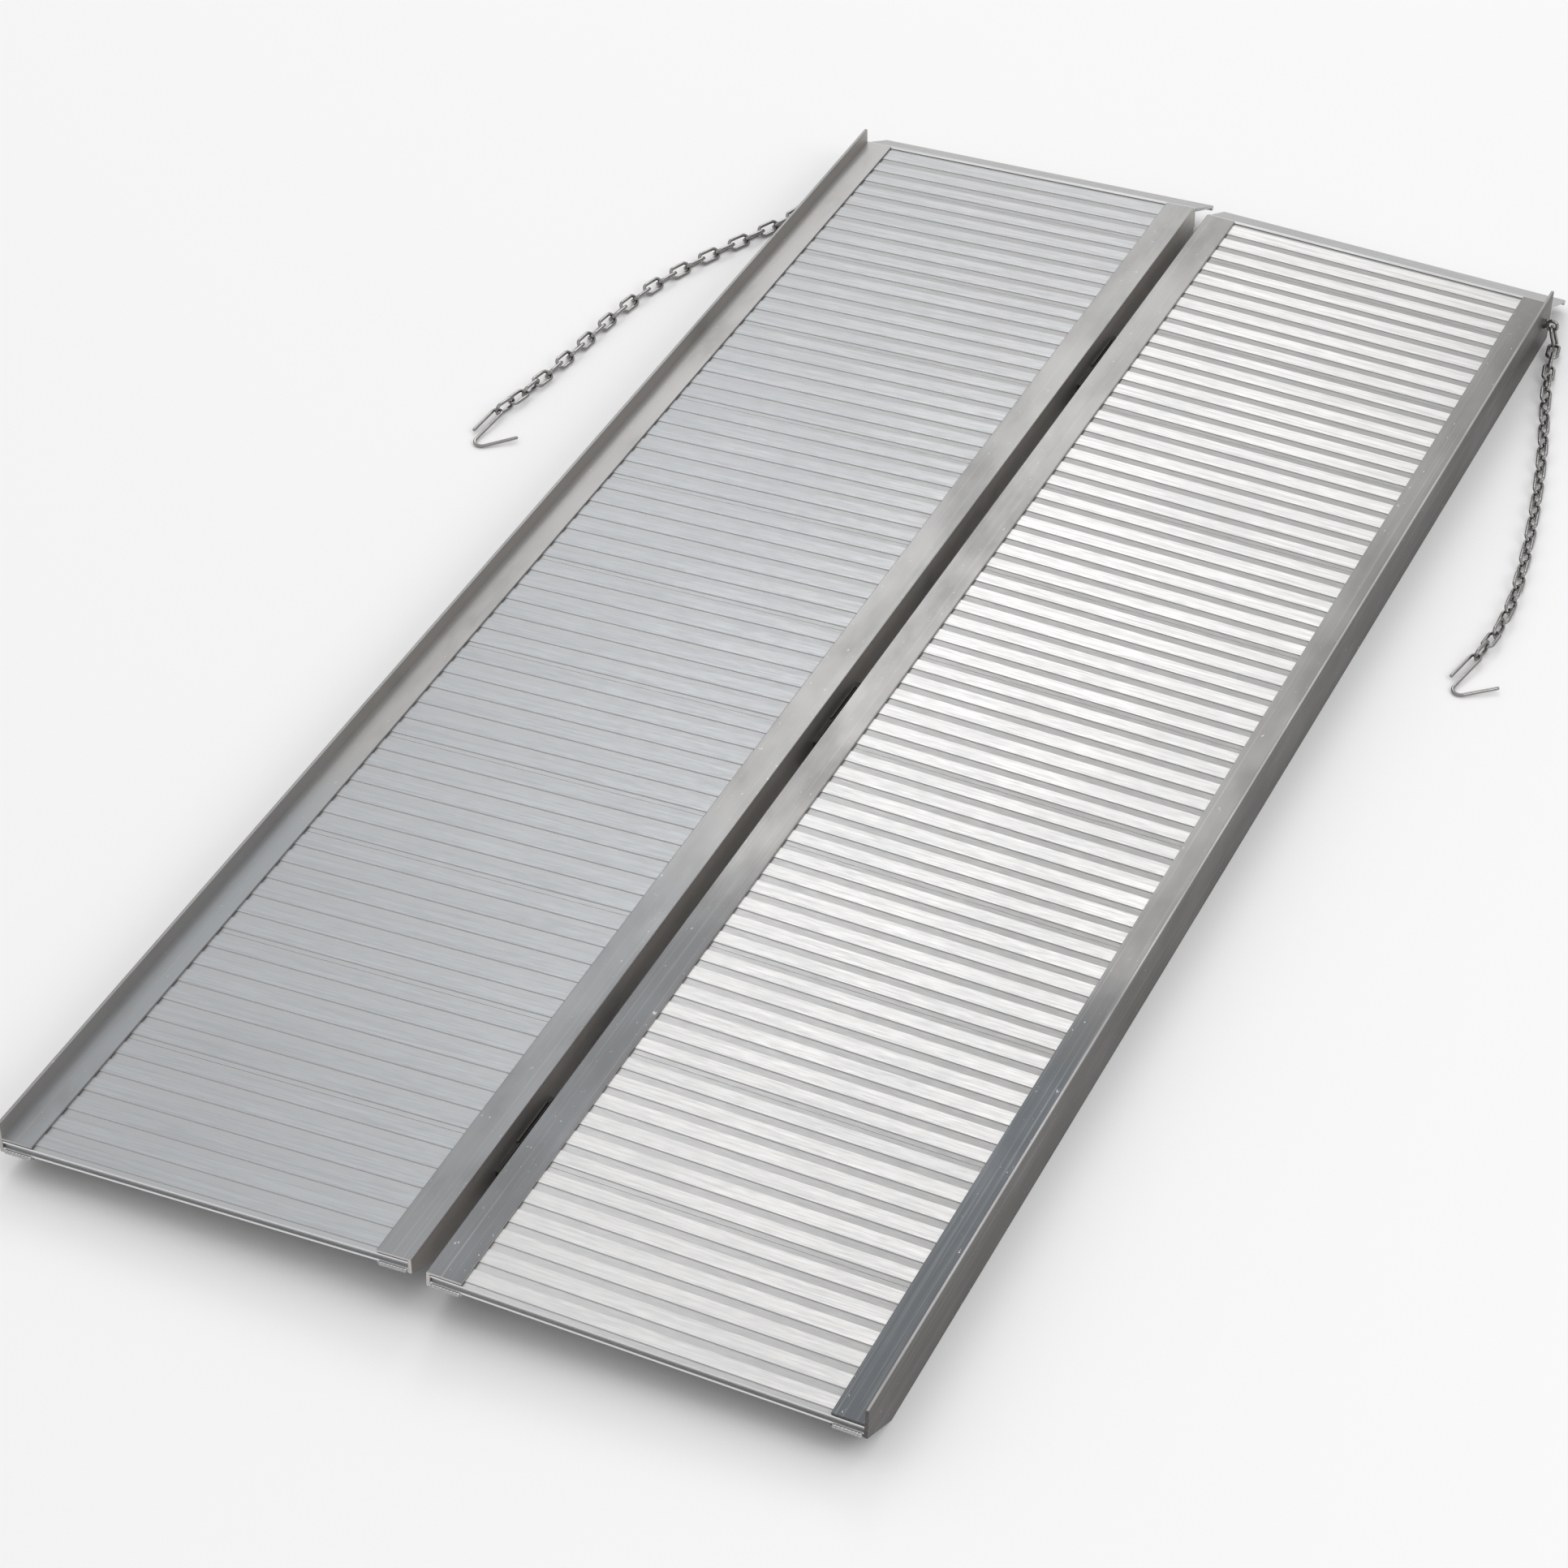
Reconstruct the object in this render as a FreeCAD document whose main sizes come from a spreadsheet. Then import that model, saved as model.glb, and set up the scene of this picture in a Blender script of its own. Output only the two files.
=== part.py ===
import FreeCAD, Part
import Sketcher
import math
import os

# Portable wheelchair ramp: two aluminium half-width panels joined by a fold hinge,
# with an approach lip and a retaining chain with hook on each panel.
# Frame: +Z up, floor at z = 0, x = 0 in the middle of the fold, +Y towards the lips.

DRIVING = {
    # panel and rails
    "panel_width": 373.0,
    "rail_length": 1755.0,
    "rail_height": 40.5,
    "curb_height": 15.0,
    "web": 3.0,
    "flange_width": 30.5,
    "flange_thick": 2.0,
    "ledge_top": 29.0,
    "ledge_thick": 2.5,
    "foot_width": 11.0,
    "foot_thick": 2.5,
    "end_cut_length": 50.0,
    "end_cut_height": 26.0,
    "edge_round": 0.8,
    # planks
    "plank_pitch": 152.4,
    "plank_gap": 0.4,
    "plank_side_gap": 0.3,
    "plate_thick": 1.6,
    "rib_pitch": 25.4,
    "rib_groove": 9.2,
    "rib_rise": 0.8,
    "rib_round": 0.4,
    "rib_under_flange": 0.3,
    "joint_recess": 5.8,
    "leg_thick": 2.0,
    "leg_inset": 3.0,
    "leg_spacing": 48.1,
    "foot_lip": 2.0,
    "end_plank_length": 78.2,
    "end_groove": 4.0,
    # lips
    "lip_ridge": 6.0,
    "lip_ridge_low": 2.3,
    "lip_crease": 1.2,
    "lip_crease_depth": 1.0,
    "lip_face_low": 1.5,
    "lip_grade": 0.466,
    "lip_run": 61.5,
    "lip_nose": 2.7,
    "lip_thick": 3.2,
    "lip_leg_drop": 24.0,
    "lip_round": 1.4,
    # fold hinge
    "panel_tilt": 1.765,
    "left_offset": 6.5,
    "barrel_radius": 6.5,
    "pin_radius": 3.0,
    "pin_fit": 0.05,
    "pin_head_radius": 4.6,
    "pin_head": 1.6,
    "hinge_length": 100.0,
    "outer_knuckle": 30.0,
    "knuckle_gap": 0.3,
    "leaf_thick": 3.0,
    "leaf_top": 21.7,
    "leaf_foot": 7.4,
    "pin_to_web": 6.993,
    "web_above_pin": 5.207,
    "weld_radius": 2.3,
    "weld_pitch": 3.0,
    "hinge_weld": 54.0,
    "hinge_weld_inset": 40.0,
    # chains
    "link_wire": 3.5,
    "link_inner_length": 21.5,
    "link_width": 14.0,
    "link_step": 21.1,
    "link_play": 0.3,
    "floor_play": 0.05,
    "first_link_lean": 15.0,
    "first_link_hook": 60.0,
    "eye_wire": 3.6,
    "eye_radius": 5.2,
    "eye_height": 28.0,
    "eye_from_end": 20.0,
    "pad_radius": 5.0,
    "pad_thick": 2.0,
    # hooks
    "hook_wire": 3.3,
    "hook_eye_radius": 4.9,
    "hook_eye_low": 0.4,
    "hook_play": 0.65,
    "hook_short_leg": 34.0,
    "hook_long_leg": 46.0,
    "hook_bend_radius": 7.5,
    "hook_bend_turn": 140.0,
    "hook_open_leg": 33.0,
    # frame
    "centre_y": 910.4,
}

DERIVED = {
    "web_inner": "=panel_width - web",
    "flange_inner": "=panel_width - flange_width",
    "flange_under": "=rail_height - flange_thick",
    "curb_top": "=rail_height + curb_height",
    "ledge_under": "=ledge_top - ledge_thick",
    "foot_inner": "=panel_width - web - foot_width",
    "foot_inner_near": "=web + foot_width",
    "cut_over": "=end_cut_length * 1.2",
    "cut_over_height": "=end_cut_height * 1.2",
    "plank_length": "=plank_pitch - plank_gap",
    "plank_across": "=panel_width - 2 * web - 2 * plank_side_gap",
    "plank_height": "=rail_height - flange_thick - rib_under_flange - ledge_top",
    "plate_top": "=plank_height - rib_rise",
    "plate_under": "=plank_height - rib_rise - plate_thick",
    "groove_start": "=rib_pitch - rib_groove / 2",
    "groove_end": "=rib_pitch + rib_groove / 2",
    "recess_far": "=plank_length - joint_recess",
    "cavity_start": "=leg_inset + leg_thick",
    "cavity_end": "=leg_inset + leg_spacing",
    "mouth_far": "=plank_length - leg_inset",
    "end_recess_far": "=end_plank_length - end_groove",
    "end_mouth_far": "=end_plank_length - leg_inset",
    "end_cavity_end": "=end_plank_length - leg_inset - leg_thick",
    "lip_top": "=rail_height - lip_ridge_low",
    "lip_crease_end": "=lip_ridge + lip_crease",
    "lip_face_start": "=rail_height - lip_face_low - lip_grade * (lip_ridge + lip_crease)",
    "lip_crease_floor": "=lip_face_start - lip_crease_depth",
    "lip_nose_along": "=lip_run - lip_nose",
    "lip_face_along": "=lip_nose_along + 0.4226 * lip_nose",
    "lip_face_end": "=rail_height - lip_face_low - lip_grade * lip_face_along",
    "lip_nose_up": "=lip_face_end - 0.9063 * lip_nose",
    "lip_under": "=rail_height - lip_face_low - lip_grade * lip_thick - 1.1 * lip_thick",
    "lip_leg_foot": "=rail_height - lip_leg_drop",
    "middle_knuckle": "=hinge_length - 2 * outer_knuckle - 2 * knuckle_gap",
    "pin_bore": "=pin_radius + pin_fit",
    "leaf_inner": "=pin_to_web - leaf_thick",
    "leaf_rise": "=leaf_top - leaf_foot",
    "leaf_strip": "=leaf_foot + leaf_thick",
    "pin_length": "=hinge_length + 2 * knuckle_gap",
    "eye_half_wire": "=eye_wire / 2",
    "eye_stand": "=pad_thick + eye_radius + eye_wire / 2 - 1",
    "eye_along": "=rail_length - eye_from_end",
    "link_radius": "=(link_width - link_wire) / 2",
    "link_straight": "=link_inner_length + link_wire - (link_width - link_wire)",
}

PANELS = {"Left": -1, "Right": 1}
PLANKS_PER_PANEL = 11
HINGE_STARTS = {"Lower": 149.0, "Middle": 779.0, "Upper": 1429.0}
EYE_ROLL_STEP = 9.0
TWISTED_LINKS = 5
SEGMENT_LINKS = 6

# Rest shape of each chain on the floor, from below its eye to its hook (x outwards, y up the ramp).
CHAIN_REST = {
    "Left": [(392.2, 1733.2), (416.0, 1627.0), (455.0, 1537.0), (486.0, 1446.0),
             (500.0, 1341.0), (509.0, 1247.0), (523.2, 1171.4)],
    "Right": [(392.2, 1731.5), (407.0, 1666.0), (434.0, 1564.0), (461.0, 1451.0),
              (482.0, 1340.0), (491.5, 1242.0), (485.6, 1181.4)],
}
HOOK_TURN = {"Left": -6.0, "Right": -12.8}

doc = FreeCAD.newDocument("Ramp")
sheet = doc.addObject("Spreadsheet::Sheet", "Sizes")
for row, (alias, content) in enumerate({**DRIVING, **DERIVED}.items(), start=1):
    sheet.set(f"A{row}", alias)
    sheet.set(f"B{row}", str(content))
    sheet.setAlias(f"B{row}", alias)
doc.recompute()


def size(name):
    """Value of a sheet alias, with an optional leading minus sign; 'zero' is 0."""
    if name == "zero":
        return 0.0
    if name.startswith("-"):
        return -size(name[1:])
    return float(sheet.get(name))


def cell(name):
    """Expression that refers to a sheet alias, with an optional leading minus sign."""
    if name.startswith("-"):
        return f"-Sizes.{name[1:]}"
    return f"Sizes.{name}"


def signed(name, side):
    """The alias, negated on the left side."""
    if side > 0 or name == "zero":
        return name
    return f"-{name}"


def origin_plane(body, role):
    """The body's own origin plane with the given role."""
    return next(item for item in body.Origin.OriginFeatures if item.Role == role)


def outline(body, name, role, corners):
    """Closed sketch on an origin plane, every corner held at sheet sizes from the origin."""
    sketch = body.newObject("Sketcher::SketchObject", name)
    sketch.AttachmentSupport = [(origin_plane(body, role), "")]
    sketch.MapMode = "FlatFace"
    points = [FreeCAD.Vector(size(across), size(up), 0) for across, up in corners]
    count = len(points)
    for index in range(count):
        sketch.addGeometry(Part.LineSegment(points[index], points[(index + 1) % count]), False)
    for index in range(count):
        sketch.addConstraint(Sketcher.Constraint("Coincident", index, 2, (index + 1) % count, 1))
    for index, corner in enumerate(corners):
        for kind, alias in zip(("DistanceX", "DistanceY"), corner):
            held = sketch.addConstraint(Sketcher.Constraint(kind, -1, 1, index, 1, size(alias)))
            if alias != "zero":
                sketch.setExpression(f"Constraints[{held}]", cell(alias))
    return sketch


def new_body(label):
    """Empty body with its label."""
    body = doc.addObject("PartDesign::Body", label)
    body.Label = label
    return body


def pad(body, sketch, length, reverse=False):
    """Pad a sketch by a sheet length."""
    feature = body.newObject("PartDesign::Pad", f"{body.Name}_Pad")
    feature.Profile = sketch
    feature.setExpression("Length", cell(length))
    feature.Reversed = reverse
    sketch.Visibility = False
    return feature


def pocket_through(body, sketch, name):
    """Cut a sketch through the whole body, both ways from its plane."""
    feature = body.newObject("PartDesign::Pocket", f"{body.Name}_{name}")
    feature.Profile = sketch
    feature.Type = 1
    feature.Midplane = True
    sketch.Visibility = False
    return feature


def repeat(body, feature, axis_sketch, name, step, count):
    """Linear pattern of a feature along the horizontal axis of a sketch."""
    pattern = body.newObject("PartDesign::LinearPattern", f"{body.Name}_{name}")
    pattern.Originals = [feature]
    pattern.Direction = (axis_sketch, ["H_Axis"])
    pattern.Mode = "Spacing"
    pattern.setExpression("Offset", cell(step))
    pattern.Occurrences = count
    body.Tip = pattern
    return pattern


def rectangle(left, low, right, high):
    """Corners of an upright rectangle."""
    return [(left, low), (right, low), (right, high), (left, high)]


def straight_edges(shape, direction, test):
    """Names of the straight edges along a direction whose middle point passes the test."""
    names = []
    for index, edge in enumerate(shape.Edges, start=1):
        if edge.Curve.TypeId != "Part::GeomLine":
            continue
        along = edge.tangentAt(edge.FirstParameter)
        if abs(along.dot(direction)) > 0.999 and test(edge.CenterOfMass):
            names.append(f"Edge{index}")
    return names


def round_edges(body, base, name, direction, radius, test):
    """Fillet the straight edges of a feature picked by direction and position."""
    feature = body.newObject("PartDesign::Fillet", f"{body.Name}_{name}")
    feature.Base = (base, straight_edges(base.Shape, direction, test))
    feature.setExpression("Radius", cell(radius))
    body.Tip = feature
    return feature


X_AXIS = FreeCAD.Vector(1, 0, 0)
Y_AXIS = FreeCAD.Vector(0, 1, 0)
Z_AXIS = FreeCAD.Vector(0, 0, 1)
PIN_HEIGHT = size("barrel_radius")


def panel_turn(side):
    """Tilt of a panel: the outer side lies on the floor, the fold is held up by the barrels."""
    return FreeCAD.Rotation(Y_AXIS, side * size("panel_tilt"))


def panel_y(side):
    """Position along the ramp of a panel's lower end."""
    return -size("centre_y") + (size("left_offset") if side < 0 else 0.0)


def panel_placement(side, across=0.0, along=0.0, up=0.0):
    """Placement of a point given in panel coordinates: across from the inner web, along, up."""
    turn = panel_turn(side)
    inner = FreeCAD.Vector(side * (size("pin_to_web") + across), 0, size("web_above_pin") + up)
    base = turn.multVec(inner) + FreeCAD.Vector(0, panel_y(side) + along, PIN_HEIGHT)
    return FreeCAD.Placement(base, turn)


parts = []


def keep(item, label, placement=None):
    """Register a finished sub-part under its label."""
    item.Label = label
    if placement is not None:
        item.Placement = placement
    parts.append(item)


# Rails ---------------------------------------------------------------------------------------

def rail(label, side, outer):
    """Extruded rail: web, top flange, plank ledge and foot; the outer one has a curb."""
    if outer:
        profile = [("panel_width", "zero"), ("panel_width", "curb_top"), ("web_inner", "curb_top"),
                   ("web_inner", "rail_height"), ("flange_inner", "rail_height"),
                   ("flange_inner", "flange_under"), ("web_inner", "flange_under"),
                   ("web_inner", "ledge_top"), ("flange_inner", "ledge_top"),
                   ("flange_inner", "ledge_under"), ("web_inner", "ledge_under"),
                   ("web_inner", "foot_thick"), ("foot_inner", "foot_thick"), ("foot_inner", "zero")]
    else:
        profile = [("zero", "zero"), ("zero", "rail_height"), ("flange_width", "rail_height"),
                   ("flange_width", "flange_under"), ("web", "flange_under"), ("web", "ledge_top"),
                   ("flange_width", "ledge_top"), ("flange_width", "ledge_under"),
                   ("web", "ledge_under"), ("web", "foot_thick"), ("foot_inner_near", "foot_thick"),
                   ("foot_inner_near", "zero")]
    body = new_body(label)
    corners = [(signed(across, side), up) for across, up in profile]
    pad(body, outline(body, f"{label}_Profile", "XZ_Plane", corners), "rail_length", True)
    slope = [("zero", "-cut_over_height"), ("cut_over", "-cut_over_height"),
             ("end_cut_length", "zero"), ("zero", "end_cut_height")]
    cut = pocket_through(body, outline(body, f"{label}_End", "YZ_Plane", slope), "EndCut")
    doc.recompute()
    top = size("curb_top") if outer else size("rail_height")
    round_edges(body, cut, "TopRound", Y_AXIS, "edge_round", lambda middle: middle.z > top - 0.01)
    keep(body, label, panel_placement(side))


for panel, side in PANELS.items():
    rail(f"{panel}_Outer_Rail", side, True)
    rail(f"{panel}_Inner_Rail", side, False)


# Planks --------------------------------------------------------------------------------------

def plank(label, side, along, length, recess, mouth, cavity, ribs, cavities):
    """Ribbed deck plank: thin top plate with ribs, legs below and C-shaped front and back edges."""
    body = new_body(label)
    bar = outline(body, f"{label}_Bar", "YZ_Plane", rectangle("zero", "zero", length, "plank_height"))
    pad(body, bar, "plank_across")
    for name, left, right in (("FrontRecess", "zero", "joint_recess"), ("BackRecess", recess, length)):
        corners = rectangle(left, "plate_top", right, "plank_height")
        pocket_through(body, outline(body, f"{label}_{name}", "YZ_Plane", corners), f"{name}Cut")
    groove = outline(body, f"{label}_Groove", "YZ_Plane",
                     rectangle("groove_start", "plate_top", "groove_end", "plank_height"))
    cut = pocket_through(body, groove, "GrooveCut")
    repeat(body, cut, groove, "Grooves", "rib_pitch", ribs - 1)
    for name, left, right in (("FrontMouth", "zero", "leg_inset"), ("BackMouth", mouth, length)):
        corners = rectangle(left, "foot_lip", right, "plate_under")
        pocket_through(body, outline(body, f"{label}_{name}", "YZ_Plane", corners), f"{name}Cut")
    hollow = outline(body, f"{label}_Hollow", "YZ_Plane",
                     rectangle("cavity_start", "zero", cavity, "plate_under"))
    last = pocket_through(body, hollow, "HollowCut")
    if cavities > 1:
        last = repeat(body, last, hollow, "Hollows", "leg_spacing", cavities)
    doc.recompute()
    top = size("plank_height")
    round_edges(body, last, "RibRound", X_AXIS, "rib_round", lambda middle: middle.z > top - 0.01)
    across = size("web") + size("plank_side_gap")
    start = across if side > 0 else across + size("plank_across")
    keep(body, label, panel_placement(side, start, along, size("ledge_top")))


for panel, side in PANELS.items():
    for number in range(PLANKS_PER_PANEL):
        start = number * size("plank_pitch") + size("plank_gap") / 2
        plank(f"{panel}_Plank_{number + 1:02d}", side, start, "plank_length", "recess_far",
              "mouth_far", "cavity_end", 6, 3)
    start = PLANKS_PER_PANEL * size("plank_pitch") + size("plank_gap") / 2
    plank(f"{panel}_End_Plank", side, start, "end_plank_length", "end_recess_far",
          "end_mouth_far", "end_cavity_end", 3, 1)


# Lips ----------------------------------------------------------------------------------------

def lip(label, side):
    """Sloping approach lip: ridge at the deck edge, crease, tapering plate, leg and round nose."""
    body = new_body(label)
    corners = [("zero", "lip_leg_foot"), ("zero", "lip_top"), ("lip_ridge", "lip_top"),
               ("lip_ridge", "lip_crease_floor"), ("lip_crease_end", "lip_crease_floor"),
               ("lip_crease_end", "lip_face_start"), ("lip_face_along", "lip_face_end"),
               ("lip_nose_along", "lip_nose_up"), ("lip_thick", "lip_under"),
               ("lip_thick", "lip_leg_foot")]
    pad(body, outline(body, f"{label}_Profile", "YZ_Plane", corners), "panel_width")
    sketch = body.newObject("Sketcher::SketchObject", f"{label}_Nose")
    sketch.AttachmentSupport = [(origin_plane(body, "YZ_Plane"), "")]
    sketch.MapMode = "FlatFace"
    middle = FreeCAD.Vector(size("lip_nose_along"), size("lip_nose_up"), 0)
    sketch.addGeometry(Part.Circle(middle, Z_AXIS, size("lip_nose")), False)
    for kind, alias in (("DistanceX", "lip_nose_along"), ("DistanceY", "lip_nose_up")):
        held = sketch.addConstraint(Sketcher.Constraint(kind, -1, 1, 0, 3, size(alias)))
        sketch.setExpression(f"Constraints[{held}]", cell(alias))
    held = sketch.addConstraint(Sketcher.Constraint("Radius", 0, size("lip_nose")))
    sketch.setExpression(f"Constraints[{held}]", cell("lip_nose"))
    nose = body.newObject("PartDesign::Pad", f"{label}_NosePad")
    nose.Profile = sketch
    nose.setExpression("Length", cell("panel_width"))
    sketch.Visibility = False
    doc.recompute()
    top = size("lip_top")
    round_edges(body, nose, "RidgeRound", X_AXIS, "lip_round",
                lambda middle: middle.z > top - 0.01 and middle.y > 1)
    start = 0.0 if side > 0 else size("panel_width")
    keep(body, label, panel_placement(side, start, size("rail_length")))


for panel, side in PANELS.items():
    lip(f"{panel}_Lip", side)


# Fold hinges ---------------------------------------------------------------------------------

def box(name, corner, lengths):
    """Part box with its corner and its three lengths bound to the sheet."""
    item = doc.addObject("Part::Box", name)
    for prop, alias in zip(("Length", "Width", "Height"), lengths):
        item.setExpression(prop, cell(alias))
    item.Placement.Base = FreeCAD.Vector(*corner)
    return item


def rod(name, start, radius, length):
    """Part cylinder lying along +Y, bound to the sheet."""
    item = doc.addObject("Part::Cylinder", name)
    item.setExpression("Radius", cell(radius))
    item.setExpression("Height", cell(length))
    item.Placement = FreeCAD.Placement(FreeCAD.Vector(0, start, 0), FreeCAD.Rotation(X_AXIS, -90))
    return item


def join(name, items):
    """Fusion of Part objects."""
    fused = doc.addObject("Part::MultiFuse", name)
    fused.Shapes = items
    return fused


def minus(name, base, tool):
    """One Part object cut from another."""
    cut = doc.addObject("Part::Cut", name)
    cut.Base = base
    cut.Tool = tool
    return cut


def hinge_placement(side, start):
    """Placement of hinge parts: origin on the pin axis, turned with their panel."""
    base = FreeCAD.Vector(0, start - size("centre_y"), PIN_HEIGHT)
    return FreeCAD.Placement(base, panel_turn(side))


def hinge_leaf(label, side, start):
    """Leaf welded to an inner web: plate, knuckles on the pin axis and a strip down to each."""
    near = size("leaf_inner") if side > 0 else -size("pin_to_web")
    plate = box(f"{label}_Plate", (near, 0, size("leaf_foot")),
                ("leaf_thick", "hinge_length", "leaf_rise"))
    outer = size("outer_knuckle")
    if side > 0:
        knuckles = [(outer + size("knuckle_gap"), "middle_knuckle")]
    else:
        knuckles = [(0.0, "outer_knuckle"), (size("hinge_length") - outer, "outer_knuckle")]
    pieces = [plate]
    for number, (offset, length) in enumerate(knuckles):
        pieces.append(rod(f"{label}_Knuckle{number}", offset, "barrel_radius", length))
        pieces.append(box(f"{label}_Strip{number}", (near, offset, 0),
                          ("leaf_thick", length, "leaf_strip")))
    bore = rod(f"{label}_Bore", 0.0, "pin_bore", "hinge_length")
    leaf = minus(f"{label}_Cut", join(f"{label}_Fuse", pieces), bore)
    keep(leaf, label, hinge_placement(side, start))


def hinge_pin(label, start):
    """Hinge pin with a low head beyond each end of the knuckles."""
    gap = size("knuckle_gap")
    shank = rod(f"{label}_Shank", -gap, "pin_radius", "pin_length")
    near = rod(f"{label}_HeadA", -gap - size("pin_head"), "pin_head_radius", "pin_head")
    far = rod(f"{label}_HeadB", size("hinge_length") + gap, "pin_head_radius", "pin_head")
    keep(join(f"{label}_Fuse", [shank, near, far]), label, hinge_placement(-1, start))


for place, start in HINGE_STARTS.items():
    hinge_leaf(f"Hinge_{place}_Left_Leaf", -1, start)
    hinge_leaf(f"Hinge_{place}_Right_Leaf", 1, start)
    hinge_pin(f"Hinge_{place}_Pin", start)


# Weld beads ----------------------------------------------------------------------------------

def bead(first, step, count, keep_corner, keep_lengths):
    """Rippled weld bead: a row of overlapping balls cut back to the open side of its joint."""
    balls = [Part.makeSphere(size("weld_radius"), first + step * index) for index in range(count)]
    row = balls[0].multiFuse(balls[1:])
    return row.common(Part.makeBox(*keep_lengths, FreeCAD.Vector(*keep_corner))).removeSplitter()


def weld_group(label, solids, placement):
    """Group of weld beads kept as one sub-part."""
    item = doc.addObject("Part::Feature", label)
    item.Shape = Part.makeCompound(solids)
    keep(item, label, placement)


def hinge_welds(label, side):
    """Beads along the top edges of one panel's three hinge leaves."""
    radius = size("weld_radius")
    step = FreeCAD.Vector(0, size("weld_pitch"), 0)
    count = int(size("hinge_weld") / size("weld_pitch"))
    reach = size("pin_to_web")
    low = reach - 2 * radius if side > 0 else -reach
    beads = []
    for start in HINGE_STARTS.values():
        begin = start + size("hinge_weld_inset")
        first = FreeCAD.Vector(side * reach, begin, size("leaf_top"))
        beads.append(bead(first, step, count, (low, begin - radius, size("leaf_top")),
                          (2 * radius, count * size("weld_pitch") + 2 * radius, 2 * radius)))
    weld_group(label, beads, hinge_placement(side, 0.0))


def ledge_welds(label, side):
    """Beads across the lower end faces of one panel's two plank ledges."""
    radius = size("weld_radius")
    step = FreeCAD.Vector(size("weld_pitch"), 0, 0)
    width = size("flange_width") - size("web")
    count = int((width - 2 * radius) / size("weld_pitch")) + 1
    row = step * (count - 1)
    middle = size("ledge_top") - size("ledge_thick") / 2
    beads = []
    for across in (size("web") + width / 2, size("panel_width") - size("web") - width / 2):
        first = FreeCAD.Vector(side * across, 0, middle) - row / 2
        corner = (side * across - width / 2, -2 * radius, middle - 2 * radius)
        beads.append(bead(first, step, count, corner, (width, 2 * radius, 4 * radius)))
    weld_group(label, beads, panel_placement(side))


for panel, side in PANELS.items():
    hinge_welds(f"{panel}_Hinge_Welds", side)
    ledge_welds(f"{panel}_Ledge_Welds", side)


# Chains --------------------------------------------------------------------------------------

def chain_eye(label, side):
    """Steel eye on the outer web: a round pad with a standing ring."""
    pad_disc = doc.addObject("Part::Cylinder", f"{label}_Pad")
    pad_disc.setExpression("Radius", cell("pad_radius"))
    pad_disc.setExpression("Height", cell("pad_thick"))
    pad_disc.Placement.Rotation = FreeCAD.Rotation(Y_AXIS, 90 * side)
    ring = doc.addObject("Part::Torus", f"{label}_Ring")
    ring.setExpression("Radius1", cell("eye_radius"))
    ring.setExpression("Radius2", cell("eye_half_wire"))
    ring.Placement = FreeCAD.Placement(FreeCAD.Vector(side * size("eye_stand"), 0, 0),
                                       FreeCAD.Rotation(X_AXIS, 90))
    place = panel_placement(side, size("panel_width"), size("eye_along"), size("eye_height"))
    keep(join(f"{label}_Fuse", [pad_disc, ring]), label, place)
    return place.multVec(FreeCAD.Vector(side * size("eye_stand"), 0, 0))


def link_solid():
    """One long link: near end at the origin, length along X, width along Y."""
    wire = size("link_wire") / 2
    bend = size("link_radius")
    straight = size("link_straight")
    near = Part.makeTorus(bend, wire, FreeCAD.Vector(bend, 0, 0), Z_AXIS, -180, 180, 180)
    near.rotate(FreeCAD.Vector(bend, 0, 0), Z_AXIS, 90)
    far = Part.makeTorus(bend, wire, FreeCAD.Vector(bend + straight, 0, 0), Z_AXIS, -180, 180, 180)
    far.rotate(FreeCAD.Vector(bend + straight, 0, 0), Z_AXIS, -90)
    sides = [Part.makeCylinder(wire, straight, FreeCAD.Vector(bend, up, 0), X_AXIS)
             for up in (-bend, bend)]
    return near.multiFuse([far] + sides).removeSplitter()


def aimed(start, direction, roll):
    """Placement of a link from its near end along a direction, rolled about its length."""
    yaw = math.degrees(math.atan2(direction.y, direction.x))
    pitch = -math.degrees(math.asin(direction.z))
    return FreeCAD.Placement(start, FreeCAD.Rotation(yaw, pitch, roll))


def link_rolls(count):
    """Rolls of the floor links: flat at first, quarter turns on, eased to 45 degrees between."""
    back = -1 if count % 2 else 1
    rolls = []
    for index in range(count):
        eased = min(index, TWISTED_LINKS) - back * max(0, index - (count - 1 - TWISTED_LINKS))
        rolls.append(90.0 * index - EYE_ROLL_STEP * eased)
    return rolls


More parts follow.
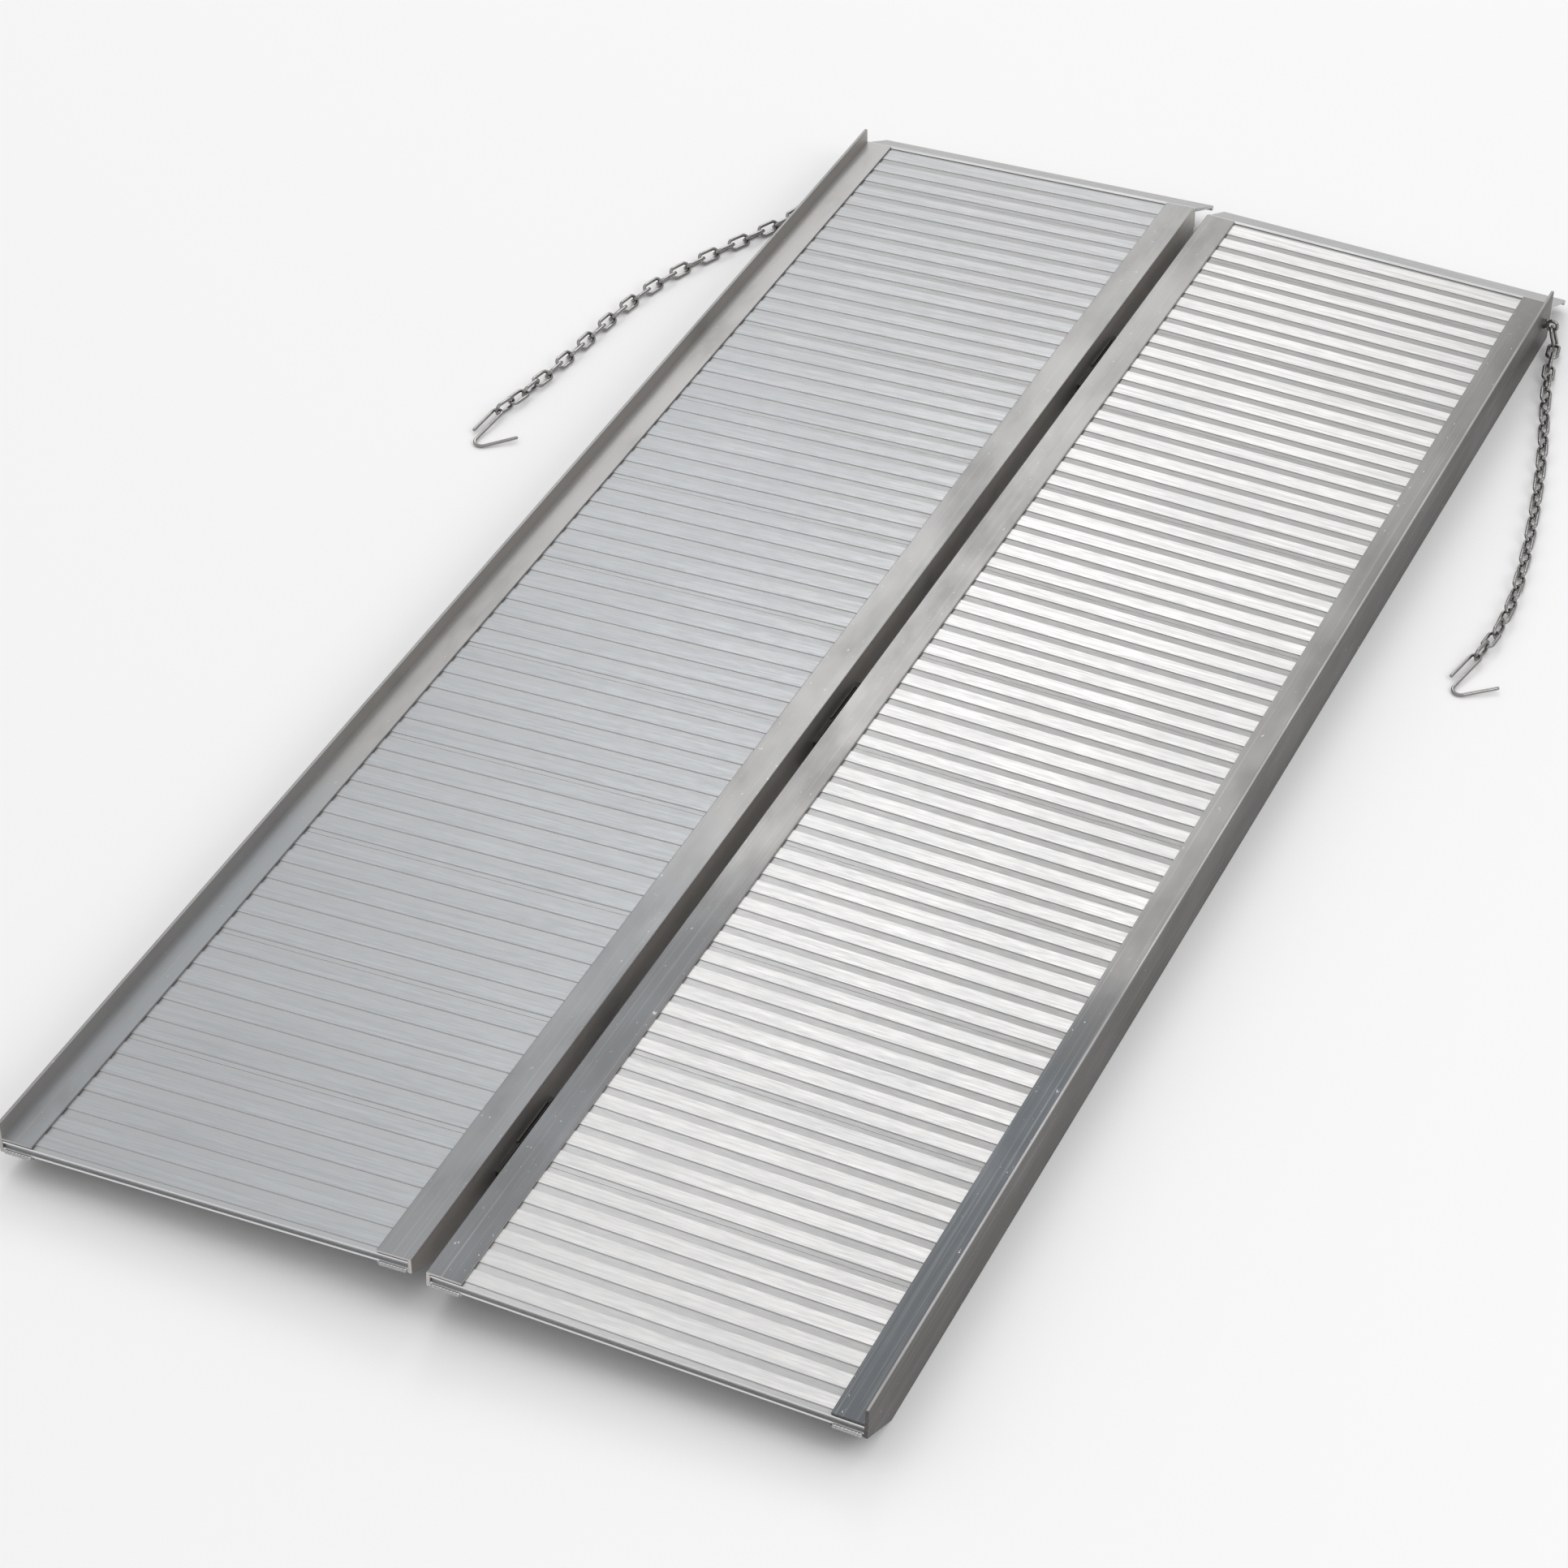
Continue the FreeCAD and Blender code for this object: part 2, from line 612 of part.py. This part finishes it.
def chain_links(panel, side, ring_middle):
    """Placements of all links, and the far end and heading height of the last one."""
    wire = size("link_wire") / 2
    reach = size("link_inner_length") + size("link_wire")
    lean = math.radians(size("first_link_lean"))
    hang = FreeCAD.Vector(side * math.sin(lean), 0, -math.cos(lean))
    rise = size("link_wire") / 2 + size("eye_half_wire") - size("eye_radius") + size("link_play")
    top = ring_middle + FreeCAD.Vector(0, 0, rise)
    placements = [aimed(top, hang, 0.0)]
    turn = math.radians(size("first_link_hook"))
    outward = hang * math.cos(turn) - Y_AXIS * math.sin(turn)
    bend_middle = top + hang * (reach - size("link_radius"))
    start = bend_middle + outward * (size("link_radius") - 2 * wire - size("link_play"))
    rest = [FreeCAD.Vector(side * across, along - size("centre_y"), 0)
            for across, along in CHAIN_REST[panel][1:]]
    curve = Part.BSplineCurve()
    curve.interpolate([FreeCAD.Vector(start.x, start.y, 0)] + rest)
    path = curve.toShape()
    count = math.ceil((path.Length - reach) / size("link_step")) + 1
    step = (path.Length - reach) / (count - 1)
    ends = [path.valueAt(path.getParameterByLength(step * index)) for index in range(count)]
    ends.append(path.valueAt(path.getParameterByLength(path.Length)))
    rolls = link_rolls(count)
    needs = [size("link_radius") * abs(math.sin(math.radians(roll))) + wire for roll in rolls]
    ends[0].z = start.z
    for index in range(1, count):
        ends[index].z = max(needs[index - 1], needs[index]) + size("floor_play")
    ends[count].z = needs[-1] + size("floor_play")
    for index in range(count):
        direction = (ends[index + 1] - ends[index]).normalize()
        placements.append(aimed(ends[index], direction, rolls[index]))
    return placements, ends[count], direction


def chain(panel, side, ring_middle):
    """Chain of one panel, kept in segments of a few links; returns where its hook starts."""
    base = link_solid()
    placements, end, direction = chain_links(panel, side, ring_middle)
    for number, first in enumerate(range(0, len(placements), SEGMENT_LINKS), start=1):
        label = f"{panel}_Chain_{number}"
        item = doc.addObject("Part::Feature", label)
        item.Shape = Part.makeCompound([base.transformed(place.toMatrix())
                                        for place in placements[first:first + SEGMENT_LINKS]])
        keep(item, label)
    inside = size("link_wire") / 2 + size("hook_wire") / 2 + size("hook_play")
    return end - direction * inside


def hook_solid():
    """Bent wire hook in the XY plane: eye bend at the origin, legs along -Y, open leg at +X."""
    wire = size("hook_wire") / 2
    eye = size("hook_eye_radius")
    bend = size("hook_bend_radius")
    turn = math.radians(size("hook_bend_turn"))
    short_tip = FreeCAD.Vector(-eye, -eye - size("hook_short_leg"), 0)
    eye_left = FreeCAD.Vector(-eye, -eye, 0)
    eye_right = FreeCAD.Vector(eye, -eye, 0)
    bend_start = FreeCAD.Vector(eye, -eye - size("hook_long_leg"), 0)
    bend_middle = bend_start + FreeCAD.Vector(bend, 0, 0)
    half_way = bend_middle - FreeCAD.Vector(math.cos(turn / 2), math.sin(turn / 2), 0) * bend
    bend_end = bend_middle - FreeCAD.Vector(math.cos(turn), math.sin(turn), 0) * bend
    open_tip = bend_end + FreeCAD.Vector(math.sin(turn), -math.cos(turn), 0) * size("hook_open_leg")
    path = Part.Wire([Part.LineSegment(short_tip, eye_left).toShape(),
                      Part.Arc(eye_left, FreeCAD.Vector(0, 0, 0), eye_right).toShape(),
                      Part.LineSegment(eye_right, bend_start).toShape(),
                      Part.Arc(bend_start, half_way, bend_end).toShape(),
                      Part.LineSegment(bend_end, open_tip).toShape()])
    section = Part.Wire([Part.Circle(short_tip, Y_AXIS, wire).toShape()])
    rod_shape = path.makePipeShell([section], True, False)
    return rod_shape.multiFuse([Part.makeSphere(wire, short_tip), Part.makeSphere(wire, open_tip)])


def hook(label, panel, start):
    """Hook of one chain: its eye held up by the last link, its wide bend down on the floor."""
    item = doc.addObject("Part::Feature", label)
    item.Shape = hook_solid()
    drop = start.z - size("hook_eye_low") - size("hook_wire") / 2 - size("floor_play")
    length = size("hook_long_leg") + size("hook_eye_radius") + size("hook_bend_radius")
    tilt = math.degrees(math.asin(drop / length))
    turn = FreeCAD.Rotation(Z_AXIS, HOOK_TURN[panel]).multiply(FreeCAD.Rotation(X_AXIS, tilt))
    base = start - FreeCAD.Vector(0, 0, size("hook_eye_low"))
    keep(item, label, FreeCAD.Placement(base, turn))


for panel, side in PANELS.items():
    ring_middle = chain_eye(f"{panel}_Chain_Eye", side)
    hook_start = chain(panel, side, ring_middle)
    hook(f"{panel}_Hook", panel, hook_start)


# Checks and export ---------------------------------------------------------------------------

doc.recompute()
for item in doc.Objects:
    if "Invalid" in item.State or "Error" in item.State:
        raise RuntimeError(f"{item.Label}: {item.State}")
os.makedirs("parts", exist_ok=True)
for item in parts:
    if item.Shape.isNull() or not item.Shape.isValid():
        raise RuntimeError(f"{item.Label}: shape is null or not valid")
    item.Shape.exportStep(f"parts/{item.Label}.step")
print(len(parts), "sub-parts")
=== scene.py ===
import math

import bpy
from mathutils import Matrix, Vector

# Portable wheelchair ramp lying open on a pale studio floor, seen from its lower right corner.

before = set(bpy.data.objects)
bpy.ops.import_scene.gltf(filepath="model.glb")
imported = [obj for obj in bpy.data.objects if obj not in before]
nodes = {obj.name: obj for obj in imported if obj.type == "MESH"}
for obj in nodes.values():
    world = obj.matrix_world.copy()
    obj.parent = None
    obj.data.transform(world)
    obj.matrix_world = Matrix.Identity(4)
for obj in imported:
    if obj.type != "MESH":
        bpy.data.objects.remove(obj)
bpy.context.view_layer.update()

# Camera --------------------------------------------------------------------------------------

CAMERA_PLACE = Vector((1.3566, -3.3082, 2.6275))
CAMERA_TARGET = Vector((-0.0207, -0.1656, 0.0))
CAMERA_ROLL = 0.0121
CAMERA_LENS = 110.93
SENSOR_WIDTH = 36.0


def add_camera():
    """The camera, aimed at its target on the floor and rolled slightly about its view."""
    data = bpy.data.cameras.new("Camera")
    data.lens = CAMERA_LENS
    data.sensor_width = SENSOR_WIDTH
    camera = bpy.data.objects.new("Camera", data)
    bpy.context.collection.objects.link(camera)
    turn = (CAMERA_TARGET - CAMERA_PLACE).to_track_quat("-Z", "Y").to_matrix().to_4x4()
    camera.matrix_world = (Matrix.Translation(CAMERA_PLACE) @ turn
                           @ Matrix.Rotation(CAMERA_ROLL, 4, "Z"))
    bpy.context.scene.camera = camera


add_camera()

# Materials -----------------------------------------------------------------------------------

# Fall of each panel outwards from the fold, the height of the hinge pins over the floor and the
# start of the webs over the pins, square to the panel.
TILT = math.radians(1.765)
PIN_HEIGHT = 0.0065
WEB_ABOVE_PIN = 0.005207

# Heights in a panel between which the ribs rise out of the grooves, and the top edge of a curb,
# which carries a painted highlight line.
RIB_RISE = (0.03755, 0.03805)
CURB_HIGHLIGHT_SPAN = (0.05490, 0.05530)

# Stretch along the ramp over which the rails change to their lower grey, a painted bluish
# reflection.
LOWER_REFLECTION_STRETCH = (-0.50, -0.26)

# Course over the decks, x times the slant plus y, along which lower greys turn into upper ones;
# this change is a painted sheen.
DECK_SLANT = 2.2
DECK_SHEEN_COURSE = (-0.8, 0.5)

# How metallic the bare aluminium is, and the grey of the deck's upright faces, lightened as
# painted light against their shade.
ALUMINIUM = 0.85
WALL_PAINTED_LIGHT_GREY = 0.80

# Fineness of a mottle along x, y and z.
BRUSHED_GRAIN = (4.0, 400.0, 400.0)
PLATE_GRAIN = (60.0, 60.0, 60.0)
WIRE_GRAIN = (120.0, 120.0, 120.0)
WELD_GRAIN = (300.0, 300.0, 300.0)


class Shader:
    """A material's node tree with short helpers."""

    def __init__(self, name):
        self.material = bpy.data.materials.new(name)
        self.material.use_nodes = True
        self.tree = self.material.node_tree
        self.surface = self.tree.nodes["Principled BSDF"]
        self.place = self.node("ShaderNodeTexCoord").outputs["Object"]

    def node(self, kind, **values):
        """New node; keyword values are its properties."""
        made = self.tree.nodes.new(kind)
        for key, value in values.items():
            setattr(made, key, value)
        return made

    def link(self, source, target):
        """Connects an output to an input, or sets the input to a plain value."""
        if isinstance(source, bpy.types.NodeSocket):
            self.tree.links.new(source, target)
        else:
            target.default_value = source

    def math(self, operation, first, second=0.0, third=0.0):
        """Result of a math node."""
        made = self.node("ShaderNodeMath", operation=operation)
        for value, socket in zip((first, second, third), made.inputs):
            self.link(value, socket)
        return made.outputs[0]

    def axes(self):
        """The x, y and z of the object position."""
        made = self.node("ShaderNodeSeparateXYZ")
        self.link(self.place, made.inputs[0])
        return made.outputs

    def level(self):
        """1 on level faces, 0 on upright ones."""
        made = self.node("ShaderNodeSeparateXYZ")
        geometry = self.node("ShaderNodeNewGeometry")
        self.tree.links.new(geometry.outputs["True Normal"], made.inputs[0])
        return self.ramp(self.math("ABSOLUTE", made.outputs["Z"]), 0.5, 0.9)

    def noise(self, fineness, detail, rough=0.5):
        """Noise value between 0 and 1, with a fineness along each of x, y and z."""
        place = self.node("ShaderNodeVectorMath", operation="MULTIPLY")
        self.link(self.place, place.inputs[0])
        place.inputs[1].default_value = fineness
        made = self.node("ShaderNodeTexNoise")
        self.link(place.outputs[0], made.inputs["Vector"])
        made.inputs["Scale"].default_value = 1.0
        made.inputs["Detail"].default_value = detail
        made.inputs["Roughness"].default_value = rough
        return made.outputs["Fac"]

    def ramp(self, value, low, high, start=0.0, end=1.0):
        """Smooth step of a value from low..high to start..end."""
        made = self.node("ShaderNodeMapRange", interpolation_type="SMOOTHSTEP")
        for source, socket in zip((value, low, high, start, end), made.inputs):
            self.link(source, socket)
        return made.outputs[0]

    def marks(self, colour, value, span, amount, tint):
        """A colour tinted where a value passes over its span, by the amount at most."""
        return self.mix(self.ramp(value, *span, 0.0, amount), colour, tint)

    def mix(self, factor, first, second):
        """Blend of two colours."""
        made = self.node("ShaderNodeMix", data_type="RGBA")
        self.link(factor, made.inputs["Factor"])
        sockets = [item for item in made.inputs if item.type == "RGBA"]
        for value, socket in zip((first, second), sockets):
            self.link(value, socket)
        return next(item for item in made.outputs if item.type == "RGBA")

    def bump(self, height, strength, distance):
        """Bump from a height value, sent to the surface."""
        made = self.node("ShaderNodeBump")
        made.inputs["Strength"].default_value = strength
        made.inputs["Distance"].default_value = distance
        self.link(height, made.inputs["Height"])
        self.tree.links.new(made.outputs["Normal"], self.surface.inputs["Normal"])

    def finish(self, colour, metallic, roughness):
        """Sets the surface and returns the material."""
        self.link(colour, self.surface.inputs["Base Color"])
        self.link(metallic, self.surface.inputs["Metallic"])
        self.link(roughness, self.surface.inputs["Roughness"])
        return self.material


def grey(value, warm=0.0):
    """Grey colour, warmer for positive warm and bluer for negative."""
    return (value * (1 + warm), value, value * (1 - warm), 1.0)


def height_in_panel(shader):
    """Height over the lower edges of a panel's webs, measured square to the tilted panel."""
    x, _, z = shader.axes()
    from_fold = shader.math("ABSOLUTE", x)
    fall = shader.math("MULTIPLY", from_fold, math.sin(TILT))
    raised = shader.math("MULTIPLY_ADD", z, math.cos(TILT), fall)
    return shader.math("SUBTRACT", raised, PIN_HEIGHT * math.cos(TILT) + WEB_ABOVE_PIN)


def deck_material(name, tops, grooves, seam):
    """Ribbed deck with a (lower end, upper end) pair of greys each for the rib tops and grooves,
    whose change along the deck is a painted sheen and whose darker grooves are partly the
    brushed finish of the tops and partly painted shade; with lines, bands, grain and haze of the
    seam grey over the tops."""
    shader = Shader(name)
    x, y, _ = shader.axes()
    sheen_course = shader.ramp(shader.math("MULTIPLY_ADD", x, DECK_SLANT, y), *DECK_SHEEN_COURSE)
    lines = shader.noise((2.0, 420.0, 420.0), 3.0, 0.7)
    bands = shader.noise((1.2, 22.0, 1.0), 2.0)
    grain = shader.noise((60.0, 900.0, 900.0), 2.0)
    haze = shader.noise((5.0, 2.2, 1.0), 2.0)
    # Tops and grooves blend from lower to upper greys as a painted sheen; the darker groove
    # greys are partly painted shade.
    top = shader.mix(sheen_course, *tops)
    groove = shader.mix(sheen_course, *grooves)
    top = shader.marks(top, lines, (0.38, 0.66), 0.8, seam)
    top = shader.marks(top, bands, (0.40, 0.75), 0.30, seam)
    top = shader.marks(top, grain, (0.35, 0.80), 0.25, seam)
    top = shader.marks(top, haze, (0.45, 0.70), 0.4, seam)
    on_rib = shader.ramp(height_in_panel(shader), *RIB_RISE)
    # Upright faces take the lightened wall grey, painted light against their shade.
    colour = shader.mix(shader.level(), grey(WALL_PAINTED_LIGHT_GREY), shader.mix(on_rib, groove, top))
    shader.bump(lines, 0.10, 0.0002)
    return shader.finish(colour, ALUMINIUM, shader.ramp(grain, 0.2, 0.8, 0.40, 0.50))


def rail_material(name, top, upright, lower=None):
    """Extruded rail: its own greys on level and upright faces, painted light and shade by which
    way a face turns;
    die lines along the ramp, stains, specks, a painted highlight line along the curb top and,
    where given, another grey near the lower end, a painted bluish reflection."""
    shader = Shader(name)
    if lower:
        y = shader.axes()[1]
        # Level faces near the lower end turn to the lower grey, a painted bluish reflection.
        top = shader.mix(shader.ramp(y, *LOWER_REFLECTION_STRETCH), lower, top)
    lines = shader.noise((500.0, 2.5, 500.0), 3.0, 0.6)
    stains = shader.noise((16.0, 6.0, 16.0), 4.0, 0.6)
    specks = shader.noise((260.0, 120.0, 200.0), 3.0, 0.7)
    # Level and upright faces get separate greys, painted light and shade by which way a face
    # turns.
    colour = shader.mix(shader.level(), upright, top)
    # A painted highlight line along the curb's top.
    curb_highlight = shader.ramp(height_in_panel(shader), *CURB_HIGHLIGHT_SPAN)
    colour = shader.mix(curb_highlight, colour, grey(0.30, 0.01))
    colour = shader.marks(colour, stains, (0.50, 0.80), 0.45, grey(0.16, 0.02))
    colour = shader.marks(colour, lines, (0.50, 0.80), 0.30, grey(0.42))
    colour = shader.marks(colour, specks, (0.68, 0.73), 0.7, grey(0.60))
    shader.bump(lines, 0.08, 0.0002)
    return shader.finish(colour, ALUMINIUM, shader.ramp(stains, 0.3, 0.7, 0.36, 0.48))


def plain_metal(name, colour, metallic, roughness, grain):
    """Metal with a soft mottle, its fineness along each axis given by the grain."""
    shader = Shader(name)
    mottle = shader.noise(grain, 3.0)
    tinted = shader.marks(colour, mottle, (0.3, 0.7), 0.4, grey(colour[1] * 0.75))
    worn = shader.ramp(mottle, 0.3, 0.7, roughness, roughness + 0.1)
    return shader.finish(tinted, metallic, worn)


def floor_material():
    """Pale matt floor."""
    shader = Shader("Studio_Floor")
    return shader.finish(grey(0.90), 0.0, 0.9)


LOOKS = {
    # Both decks are the same metal: their different greys are painted sheen, and their darker
    # grooves are partly painted shade.
    "Left_Plank": deck_material("Left_Deck", (grey(0.45, -0.03), grey(0.47, -0.01)),
                                (grey(0.41, -0.02), grey(0.32, 0.0)), grey(0.37, -0.03)),
    "Right_Plank": deck_material("Right_Deck", (grey(0.58, 0.01), grey(0.66, 0.015)),
                                 (grey(0.44, 0.0), grey(0.29, 0.01)), grey(0.48, 0.0)),
    # The rails are one aluminium; their different greys per rail and per face are painted light
    # and shade.
    "Left_Outer_Rail": rail_material("Left_Outer_Rail", grey(0.37, 0.02), grey(0.42, 0.04),
                                     grey(0.33, -0.04)),
    "Left_Inner_Rail": rail_material("Left_Inner_Rail", grey(0.30, 0.01), grey(0.55, 0.04),
                                     grey(0.25, -0.03)),
    "Right_Inner_Rail": rail_material("Right_Inner_Rail", grey(0.28, 0.02), grey(0.55, 0.04),
                                      grey(0.17, -0.04)),
    "Right_Outer_Rail": rail_material("Right_Outer_Rail", grey(0.21, 0.03), grey(0.10, 0.05),
                                      grey(0.11, -0.08)),
    "Lip": plain_metal("Lip_Aluminium", grey(0.50), ALUMINIUM, 0.38, BRUSHED_GRAIN),
    "Leaf": plain_metal("Hinge_Aluminium", grey(0.10, 0.02), 0.8, 0.5, PLATE_GRAIN),
    "Pin": plain_metal("Pin_Steel", grey(0.4), 1.0, 0.3, PLATE_GRAIN),
    "Hinge_Welds": plain_metal("Dull_Weld_Bead", grey(0.09, 0.03), 1.0, 0.35, WELD_GRAIN),
    "Welds": plain_metal("Weld_Bead", grey(0.50), 1.0, 0.16, WELD_GRAIN),
    # Chain and hook greys are darkened as a painted dark reflection of the surroundings.
    "Chain": plain_metal("Zinc_Chain", grey(0.30, 0.03), 1.0, 0.12, WIRE_GRAIN),
    "Hook": plain_metal("Zinc_Hook", grey(0.32, 0.03), 1.0, 0.10, WIRE_GRAIN),
}


def look_of(name):
    """The material of a CAD node: the first whose words are all in its name."""
    return next(look for words, look in LOOKS.items()
                if all(word in name for word in words.split("_")))


for name, item in nodes.items():
    item.data.materials.clear()
    item.data.materials.append(look_of(name))

# Floor and lights ----------------------------------------------------------------------------

FLOOR_REACH = 40.0
FLOOR_HEIGHT = -0.0004

# Brightness of the surroundings around the horizon and overhead, and the heights of the sky
# direction between which one turns into the other.
SKY_LOW = 0.38
SKY_HIGH = 0.95
SKY_RISE = (0.10, 0.60)


def add_floor():
    """Large flat floor just under the ramp."""
    mesh = bpy.data.meshes.new("Studio_Floor")
    corners = [(-FLOOR_REACH, -FLOOR_REACH, 0), (FLOOR_REACH, -FLOOR_REACH, 0),
               (FLOOR_REACH, FLOOR_REACH, 0), (-FLOOR_REACH, FLOOR_REACH, 0)]
    mesh.from_pydata(corners, [], [(0, 1, 2, 3)])
    mesh.materials.append(floor_material())
    floor = bpy.data.objects.new("Studio_Floor", mesh)
    floor.location.z = FLOOR_HEIGHT
    bpy.context.collection.objects.link(floor)


def add_light(name, place, target, size, power):
    """White square area light aimed at a point."""
    data = bpy.data.lights.new(name, "AREA")
    data.shape = "SQUARE"
    data.size = size
    data.energy = power
    light = bpy.data.objects.new(name, data)
    bpy.context.collection.objects.link(light)
    light.location = place
    light.rotation_euler = (Vector(target) - Vector(place)).to_track_quat("-Z", "Y").to_euler()


def set_world():
    """White surroundings, dimmer around the horizon than overhead."""
    world = bpy.data.worlds.new("Studio")
    world.use_nodes = True
    tree = world.node_tree
    split = tree.nodes.new("ShaderNodeSeparateXYZ")
    rise = tree.nodes.new("ShaderNodeMapRange")
    rise.interpolation_type = "SMOOTHSTEP"
    for value, socket in zip((*SKY_RISE, SKY_LOW, SKY_HIGH),
                             ("From Min", "From Max", "To Min", "To Max")):
        rise.inputs[socket].default_value = value
    tree.links.new(tree.nodes.new("ShaderNodeTexCoord").outputs["Generated"], split.inputs[0])
    tree.links.new(split.outputs["Z"], rise.inputs["Value"])
    tree.links.new(rise.outputs[0], tree.nodes["Background"].inputs["Strength"])
    tree.nodes["Background"].inputs["Color"].default_value = (1.0, 1.0, 1.0, 1.0)
    bpy.context.scene.world = world


add_floor()
set_world()
add_light("Key", (-1.5, 4.5, 4.0), (0, 0.2, 0), 2.0, 45.0)
add_light("Fill", (3.5, -1.0, 3.0), (0, 0, 0), 2.0, 30.0)
bpy.context.scene.view_settings.view_transform = "Standard"
